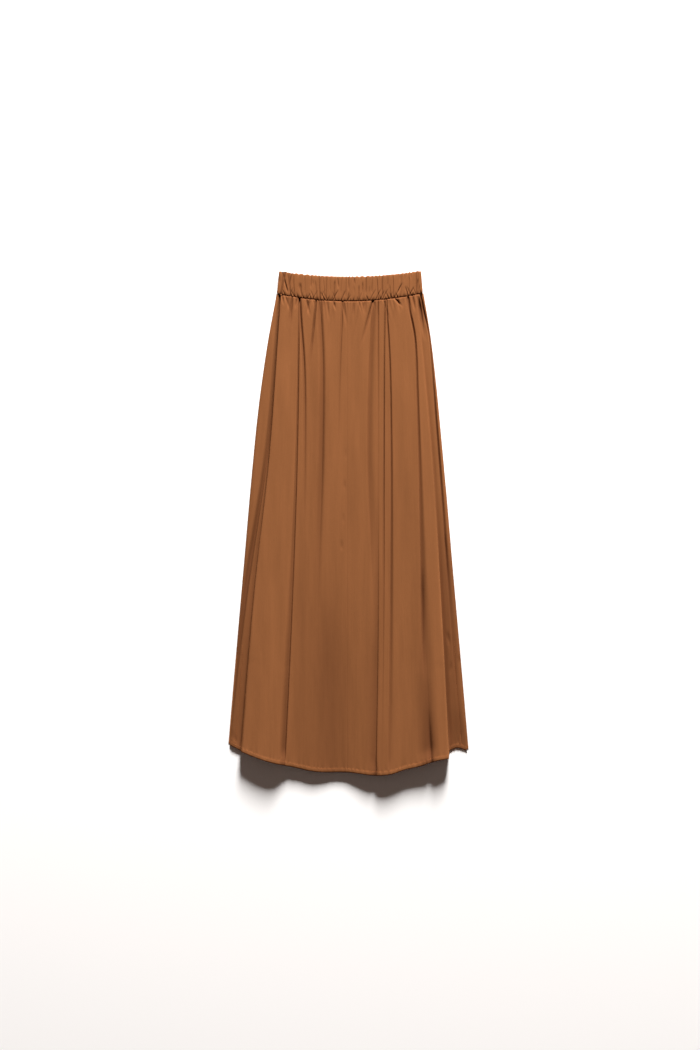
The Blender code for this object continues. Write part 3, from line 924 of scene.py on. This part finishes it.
def band_mesh(sizes, material):
    """The casing over the elastic: one closed loop of cloth, pressed flat."""
    front_pleats = band_pleats(sizes, BAND_GATHER_SEED)
    back_pleats = band_pleats(sizes, BAND_GATHER_SEED + 1)
    rings, shades, heights = [], [], []
    for share, out, outer in band_section():
        x, z, nx, nz, dips = band_loop(share, front_pleats, back_pleats)
        across = x / half_width(0.0)
        bottom = seam_y(across) + SEAM_GAP / 2
        uneven = ripples(x, 1.3, (2, 9)) * (0.6 + 0.4 * np.sin(x / (17 * MM)))
        lump = LUMP_HEIGHT * bell(x - LUMP_X, LUMP_HALF)
        ruffle = RUFFLE_RISE + RUFFLE_UNEVEN * uneven - PLEAT_DRAWS * dips + lump
        scallop = ruffle * smooth((share - 0.7) / 0.3)
        y = bottom + (top_y(across) - bottom) * share + scallop
        reach = out * BAND_WALL / 2 - (dips if outer else 0)
        point_z = np.maximum(z + nz * reach, 0.02 * MM)
        rings.append(np.stack([x + nx * reach, y, point_z], axis=1))
        # Painted shade in the casing's pleats, weaker on its inside
        shades.append((1 - np.exp(-dips / PLEAT_SHADE_DEPTH)) * (1.0 if outer else INSIDE_SHADE))
        heights.append(share * BAND_HEIGHT)
    points = np.array(rings)
    count, columns = points.shape[:2]
    index = np.arange(count * columns).reshape(count, columns)
    after, beside = np.roll(index, -1, axis=0), np.roll(index, -1, axis=1)
    both = np.roll(after, -1, axis=1)
    faces = np.stack([index, beside, both, after], axis=2).reshape(-1, 4).tolist()
    step = np.linalg.norm(np.diff(points[0], axis=0), axis=1)
    u = np.concatenate([[0.0], np.cumsum(step)])
    uv = np.stack(np.broadcast_arrays(u[None, :], np.array(heights)[:, None]), axis=2)
    shade = np.array(shades).reshape(-1)
    return add_mesh(
        "waistband_cloth", points.reshape(-1, 3), faces, uv.reshape(-1, 2), shade, material
    )


# Materials


def add_node(tree, kind, inputs=None, **settings):
    """Adds a node with its settings. A socket given as an input is linked, and anything else is set."""
    node = tree.nodes.new(kind)
    for name, value in settings.items():
        setattr(node, name, value)
    for name, value in (inputs or {}).items():
        if isinstance(value, bpy.types.NodeSocket):
            tree.links.new(value, node.inputs[name])
        else:
            node.inputs[name].default_value = value
    return node


# Sockets that share a name with others: a Mix node's two colours and its result, and a Random Value node's
# least and greatest number and its result
MIX_A, MIX_B, MIX_RESULT = 6, 7, 2
RANDOM_MIN, RANDOM_MAX, RANDOM_RESULT = 2, 3, 1


def new_material(name):
    """A material of nodes, its tree and its shader."""
    material = bpy.data.materials.new(name)
    material.use_nodes = True
    return material, material.node_tree, material.node_tree.nodes["Principled BSDF"]


def noise_on(tree, vector, scale, detail):
    """Noise with so many features to a metre across, along and up."""
    stretched = add_node(tree, "ShaderNodeMapping", {"Vector": vector, "Scale": scale})
    inputs = {"Vector": stretched.outputs[0], "Scale": 1.0, "Detail": detail}
    return add_node(tree, "ShaderNodeTexNoise", inputs).outputs[0]


def around_one(tree, noise, swing):
    """A factor that varies about 1 by this much."""
    inputs = {"Value": noise, "From Min": 0.3, "From Max": 0.7, "To Min": 1 - swing, "To Max": 1 + swing}
    return add_node(tree, "ShaderNodeMapRange", inputs).outputs[0]


def multiplied(tree, first, second):
    return add_node(tree, "ShaderNodeMath", {0: first, 1: second}, operation="MULTIPLY").outputs[0]


def mixed(tree, factor, first, second, **settings):
    """Two colours mixed by a factor."""
    inputs = {"Factor": factor, MIX_A: (*first, 1), MIX_B: (*second, 1)}
    mix = add_node(tree, "ShaderNodeMix", inputs, data_type="RGBA", **settings)
    return mix.outputs[MIX_RESULT]


def bump(tree, height, strength, distance, **under):
    """Normals of a relief, over another bump's where one is given."""
    inputs = {"Height": height, "Strength": strength, "Distance": distance, **under}
    return add_node(tree, "ShaderNodeBump", inputs).outputs[0]


# Features to a metre of the dye's fine streaks, of the cloth's uneven tone and of its crumples
STREAKS = (900, 9, 1)
CLOUDS = (60, 5, 1)
CRUMPLES = (90, 16, 20)
THREAD_PITCH = 0.8 * MM
WAVE_PERIOD = 2 * math.pi / 20


def cotton_poplin():
    """Cotton poplin, plain woven and piece dyed: matt, with a faint warp streak and no visible nap.

    Real poplin is so fine and dull that it has no gloss, also at a glancing angle, only a faint fuzz that
    lightens its edges. So the specular level is 0 and a little sheen stands in. The real threads are about
    0.25 mm apart. They are drawn 0.8 mm apart, so that a close view shows them.
    """
    made = bpy.data.materials.get("cotton_poplin")
    if made:
        return made
    colours = bpy.context.scene.skirt_colours
    material, tree, shader = new_material("cotton_poplin")
    uv = add_node(tree, "ShaderNodeUVMap", uv_map="cloth").outputs["UV"]
    place = add_node(tree, "ShaderNodeTexCoord").outputs["Object"]

    streaks = around_one(tree, noise_on(tree, uv, STREAKS, 3.0), 0.03)
    clouds = around_one(tree, noise_on(tree, place, CLOUDS, 2.0), 0.055)
    # Painted shade and highlight: the fold_shade attribute mixes the darker fold colour into the base
    # colour, and values below zero lighten it
    shade = add_node(tree, "ShaderNodeAttribute", attribute_name="fold_shade").outputs["Fac"]
    painted_shade_and_highlight = mixed(tree, shade, colours.cloth, colours.fold, clamp_factor=False)
    inputs = {0: painted_shade_and_highlight, "Scale": multiplied(tree, streaks, clouds)}
    tone = add_node(tree, "ShaderNodeVectorMath", inputs, operation="SCALE")
    tree.links.new(tone.outputs[0], shader.inputs["Base Color"])

    scale = WAVE_PERIOD / THREAD_PITCH
    warp, weft = (
        add_node(tree, "ShaderNodeTexWave", {"Vector": uv, "Scale": scale}, bands_direction=way)
        for way in ("X", "Y")
    )
    weave = multiplied(tree, warp.outputs["Fac"], weft.outputs["Fac"])
    crumpled = bump(tree, noise_on(tree, place, CRUMPLES, 4.0), 0.5, 1.0 * MM)
    woven = bump(tree, weave, 0.35, 0.08 * MM, Normal=crumpled)
    tree.links.new(woven, shader.inputs["Normal"])
    shader.inputs["Roughness"].default_value = 0.85
    shader.inputs["Specular IOR Level"].default_value = 0.0
    shader.inputs["Sheen Weight"].default_value = 0.1
    shader.inputs["Sheen Roughness"].default_value = 0.5
    shader.inputs["Sheen Tint"].default_value = (*linear("#c98a5c"), 1)
    return material


def cotton_thread():
    """Spun cotton sewing thread: matt, twisted, a little brighter than the cloth."""
    made = bpy.data.materials.get("cotton_thread")
    if made:
        return made
    thread = bpy.context.scene.skirt_colours.thread
    material, tree, shader = new_material("cotton_thread")
    place = add_node(tree, "ShaderNodeTexCoord").outputs["Object"]
    twist = add_node(tree, "ShaderNodeTexNoise", {"Vector": place, "Scale": 900.0}).outputs[0]
    tones = ([c * tone for c in thread] for tone in (0.8, 1.2))
    tree.links.new(mixed(tree, twist, *tones), shader.inputs["Base Color"])
    tree.links.new(bump(tree, twist, 0.4, 0.1 * MM), shader.inputs["Normal"])
    shader.inputs["Roughness"].default_value = 0.8
    shader.inputs["Specular IOR Level"].default_value = 0.1
    return material


# Topstitching


def stitch_tree():
    """Geometry nodes that lay one short thread at each step along a guide line."""
    tree = bpy.data.node_groups.new("topstitch", "GeometryNodeTree")
    face = tree.interface
    face.new_socket("Guide", in_out="INPUT", socket_type="NodeSocketGeometry")
    for name in ("Stitch length", "Stitch gap", "Thread diameter"):
        face.new_socket(name, in_out="INPUT", socket_type="NodeSocketFloat")
    face.new_socket("Seed", in_out="INPUT", socket_type="NodeSocketInt")
    face.new_socket("Thread", in_out="INPUT", socket_type="NodeSocketMaterial")
    face.new_socket("Stitches", in_out="OUTPUT", socket_type="NodeSocketGeometry")

    def node(kind, inputs=None, **settings):
        return add_node(tree, kind, inputs, **settings).outputs[0]

    given = tree.nodes.new("NodeGroupInput").outputs
    long, thick = given["Stitch length"], given["Thread diameter"]
    pitch = node("ShaderNodeMath", {0: long, 1: given["Stitch gap"]}, operation="ADD")
    line = node("GeometryNodeMeshToCurve", {"Mesh": given["Guide"]})
    steps = node("GeometryNodeResampleCurve", {"Curve": line, "Length": pitch}, mode="LENGTH")
    tangent = node("GeometryNodeInputTangent")
    turn = node("FunctionNodeAlignRotationToVector", {"Vector": tangent}, axis="X")
    ball = node("GeometryNodeMeshUVSphere", {"Segments": 6, "Rings": 5, "Radius": 0.5})
    varied = {RANDOM_MIN: 0.85, RANDOM_MAX: 1.1, "Seed": given["Seed"]}
    uneven = add_node(tree, "FunctionNodeRandomValue", varied, data_type="FLOAT")
    length = multiplied(tree, long, uneven.outputs[RANDOM_RESULT])
    size = node("ShaderNodeCombineXYZ", {"X": length, "Y": thick, "Z": thick})
    places = {"Points": steps, "Instance": ball, "Rotation": turn, "Scale": size}
    laid = node("GeometryNodeInstanceOnPoints", places)
    real = node("GeometryNodeRealizeInstances", {"Geometry": laid})
    finish = node("GeometryNodeSetMaterial", {"Geometry": real, "Material": given["Thread"]})
    out = tree.nodes.new("NodeGroupOutput")
    tree.links.new(finish, out.inputs["Stitches"])
    return tree


def stitch_piece(name, guides, seed):
    """Runs the stitch nodes along guide lines and keeps the result as a plain mesh."""
    sizes = bpy.context.scene.skirt_sizes
    mesh = bpy.data.meshes.new(name + "_guide")
    points, edges = [], []
    for guide in guides:
        start = len(points)
        points += [tuple(p) for p in guide]
        edges += [(i, i + 1) for i in range(start, len(points) - 1)]
    mesh.from_pydata(points, edges, [])
    guide_object = add_object(name + "_guide", mesh)
    tree = bpy.data.node_groups.get("topstitch") or stitch_tree()
    modifier = guide_object.modifiers.new("Topstitch", "NODES")
    modifier.node_group = tree
    values = {
        "Stitch length": sizes.stitch,
        "Stitch gap": sizes.stitch_gap,
        "Thread diameter": sizes.thread,
        "Seed": seed,
        "Thread": cotton_thread(),
    }
    for socket in tree.interface.items_tree:
        if socket.in_out == "INPUT" and socket.name in values:
            modifier[socket.identifier] = values[socket.name]
    graph = bpy.context.evaluated_depsgraph_get()
    made = bpy.data.meshes.new_from_object(guide_object.evaluated_get(graph))
    made.name = name
    made.shade_smooth()
    piece = add_object(name, made)
    bpy.data.objects.remove(guide_object)
    return piece


def line_on(points, rows, columns):
    """A guide line through grid places, just above the cloth."""
    normals = grid_normals(points)
    return points[rows, columns] + normals[rows, columns] * THREAD_LIFT


def hem_guide(points, hem):
    """A guide line round a panel's hem at the hem's width from its edge."""
    columns = np.arange(2, points.shape[1] - 2)
    rise = points[..., 1] - points[-1, :, 1]
    rows = np.array([np.argmin(np.abs(rise[:, c] - hem + STITCH_INSET)) for c in columns])
    return line_on(points, rows, columns)


def slit_guide(points, side, width):
    """A guide line down a slit's turned edge, at the turned width from the panel's side."""
    x = points[..., 0]
    edge = x[:, 0] if side < 0 else x[:, -1]
    span = points[0, :, 1].mean() - points[-1, :, 1].mean()
    rows = np.arange(points.shape[0])
    down = (points[0, :, 1].mean() - points[rows, 0 if side < 0 else -1, 1]) / span
    rows = rows[(down > SLIT_TOP - 0.05) & (down < 0.98)]
    columns = np.array([np.argmin(np.abs(x[r] - (edge[r] - side * width))) for r in rows])
    return line_on(points, rows, columns)


# Operators


def place_cloth(piece, node):
    """Lays a cloth in its solid's place."""
    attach(piece, BODY)
    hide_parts(node)


def place_stitches(piece):
    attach(piece, BODY)


class SKIRT_OT_front_panels(bpy.types.Operator):
    """Lays the two front panels with their folds, gathers, seam and topstitched hems"""

    bl_idname = "skirt.front_panels"
    bl_label = "Front panels"

    def execute(self, context):
        sizes = context.scene.skirt_sizes
        for side, node in ((-1, "front_left_panel"), (1, "front_right_panel")):
            points, shade, thickness = front_points(side, sizes)
            cloth = sheet_piece(node + "_cloth", points, thickness, shade, cotton_poplin(), LOWEST_INSIDE)
            place_cloth(cloth, node)
            guides = [hem_guide(points, sizes.hem), slit_guide(points, side, sizes.slit_hem)]
            stitches = stitch_piece(node + "_stitches", guides, FRONT_STITCH_SEED + side)
            place_stitches(stitches)
        return {"FINISHED"}


class SKIRT_OT_back_panel(bpy.types.Operator):
    """Lays the back panel flat under the front, with its topstitched hem"""

    bl_idname = "skirt.back_panel"
    bl_label = "Back panel"

    def execute(self, context):
        sizes = context.scene.skirt_sizes
        points, shade, thickness = back_points(sizes)
        cloth = sheet_piece("back_panel_cloth", points, thickness, shade, cotton_poplin())
        place_cloth(cloth, "back_panel")
        guides = [
            hem_guide(points, sizes.hem),
            slit_guide(points, -1, sizes.slit_hem),
            slit_guide(points, 1, sizes.slit_hem),
        ]
        stitches = stitch_piece("back_panel_stitches", guides, BACK_STITCH_SEED)
        place_stitches(stitches)
        return {"FINISHED"}


class SKIRT_OT_waistband(bpy.types.Operator):
    """Makes the gathered casing over the elastic, pressed flat"""

    bl_idname = "skirt.waistband"
    bl_label = "Waistband"

    def execute(self, context):
        cloth = band_mesh(context.scene.skirt_sizes, cotton_poplin())
        place_cloth(cloth, "waistband")
        return {"FINISHED"}


# The key stands beyond the waist, low enough for the shadow under the hem and near enough for the fall of
# light along the skirt
KEY_ELEVATION = 18
KEY_TURN = 6
KEY_DISTANCE = 7.0
KEY_SIZE = 1.6
KEY_POWER = 1960
HEM_Y = -0.45

# The sky is bright at the horizon, for low views, and a dim warm fill above these heights
FILL = 0.08
FILL_COLOUR = "#ffd9c6"
HORIZON = 0.95
SKY_FROM = 0.1
SKY_TO = 0.22

# Half the floor's side, in metres, and how far it lies below the skirt
FLOOR_REACH = 30
FLOOR_DROP = 0.3 * MM

# The photograph's scale, its height in pixels, where its middle lies, and a long lens
PIXEL = 1.9 * MM
PHOTO_HEIGHT = 1050
PICTURE_MIDDLE = (2.85 * MM, -1.9 * MM)
LENS = 100
SENSOR = 36


def add_floor(scene):
    """Matt pale paint, which gives back nearly all light and has hardly any gloss."""
    mesh = bpy.data.meshes.new("floor")
    corners = [(x * FLOOR_REACH, y * FLOOR_REACH, 0) for x, y in ((-1, -1), (1, -1), (1, 1), (-1, 1))]
    mesh.from_pydata(corners, [], [(0, 1, 2, 3)])
    paint, _, shader = new_material("matt_floor_paint")
    shader.inputs["Base Color"].default_value = (*scene.skirt_colours.floor, 1)
    shader.inputs["Roughness"].default_value = 0.9
    shader.inputs["Specular IOR Level"].default_value = 0.1
    mesh.materials.append(paint)
    floor = add_object("floor", mesh)
    floor.location.z = -FLOOR_DROP


def add_key(scene):
    """A softbox that looks at the hem from beyond the waist."""
    light = bpy.data.lights.new("key_softbox", "AREA")
    light.size = KEY_SIZE
    light.energy = KEY_POWER
    key = add_object("key_softbox", light)
    low, turned = math.radians(KEY_ELEVATION), math.radians(KEY_TURN)
    away = Vector((math.sin(turned), math.cos(turned), math.tan(low))) * KEY_DISTANCE
    key.location = Vector((0, HEM_Y, 0)) + away
    key.rotation_euler = (-away).to_track_quat("-Z", "Y").to_euler()


def add_sky(scene):
    """The fill: white and bright at the horizon, warm and dim above."""
    world = bpy.data.worlds.new("studio")
    scene.world = world
    world.use_nodes = True
    tree = world.node_tree
    sky = add_node(tree, "ShaderNodeTexCoord").outputs["Generated"]
    height = add_node(tree, "ShaderNodeSeparateXYZ", {"Vector": sky}).outputs["Z"]
    risen = {"Value": height, "From Min": SKY_FROM, "From Max": SKY_TO}
    strength = add_node(tree, "ShaderNodeMapRange", {**risen, "To Min": HORIZON, "To Max": FILL})
    share = add_node(tree, "ShaderNodeMapRange", risen)
    tint = mixed(tree, share.outputs[0], (1, 1, 1), linear(FILL_COLOUR))
    background = tree.nodes["Background"]
    tree.links.new(strength.outputs[0], background.inputs["Strength"])
    tree.links.new(tint, background.inputs["Color"])


def add_camera(scene):
    """Straight above, at the height where one pixel of the photograph is PIXEL wide on the floor."""
    view = bpy.data.cameras.new("photo_camera")
    view.lens = LENS
    view.sensor_width = SENSOR
    view.clip_end = 100
    camera = add_object("photo_camera", view)
    camera.location = (*PICTURE_MIDDLE, PIXEL * PHOTO_HEIGHT / 2 / (SENSOR / 2 / LENS))
    scene.camera = camera


class SKIRT_OT_stage(bpy.types.Operator):
    """Sets the pale floor, the low key softbox, the soft fill and the camera straight above"""

    bl_idname = "skirt.stage"
    bl_label = "Studio"

    def execute(self, context):
        scene = context.scene
        add_floor(scene)
        add_key(scene)
        add_sky(scene)
        add_camera(scene)
        scene.view_settings.view_transform = "Standard"
        return {"FINISHED"}


class SKIRT_PT_panel(bpy.types.Panel):
    """Lists the skirt's sizes, its pieces and its studio"""

    bl_label = "Flat-laid skirt"
    bl_idname = "SKIRT_PT_panel"
    bl_space_type = "VIEW_3D"
    bl_region_type = "UI"
    bl_category = "Skirt"

    def draw(self, context):
        layout = self.layout
        for group in (context.scene.skirt_sizes, context.scene.skirt_colours):
            for name in group.__annotations__:
                layout.prop(group, name)
        for operator in OPERATORS:
            layout.operator(operator.bl_idname)


OPERATORS = (
    SKIRT_OT_stage,
    SKIRT_OT_back_panel,
    SKIRT_OT_front_panels,
    SKIRT_OT_waistband,
)
CLASSES = (SkirtSizes, SkirtColours, *OPERATORS, SKIRT_PT_panel)


def register():
    for made in CLASSES:
        bpy.utils.register_class(made)
    bpy.types.Scene.skirt_sizes = PointerProperty(type=SkirtSizes)
    bpy.types.Scene.skirt_colours = PointerProperty(type=SkirtColours)


def unregister():
    del bpy.types.Scene.skirt_colours
    del bpy.types.Scene.skirt_sizes
    for made in reversed(CLASSES):
        bpy.utils.unregister_class(made)


def main():
    register()
    bpy.ops.skirt.stage()
    bpy.ops.skirt.back_panel()
    bpy.ops.skirt.front_panels()
    bpy.ops.skirt.waistband()


if __name__ == "__main__":
    main()
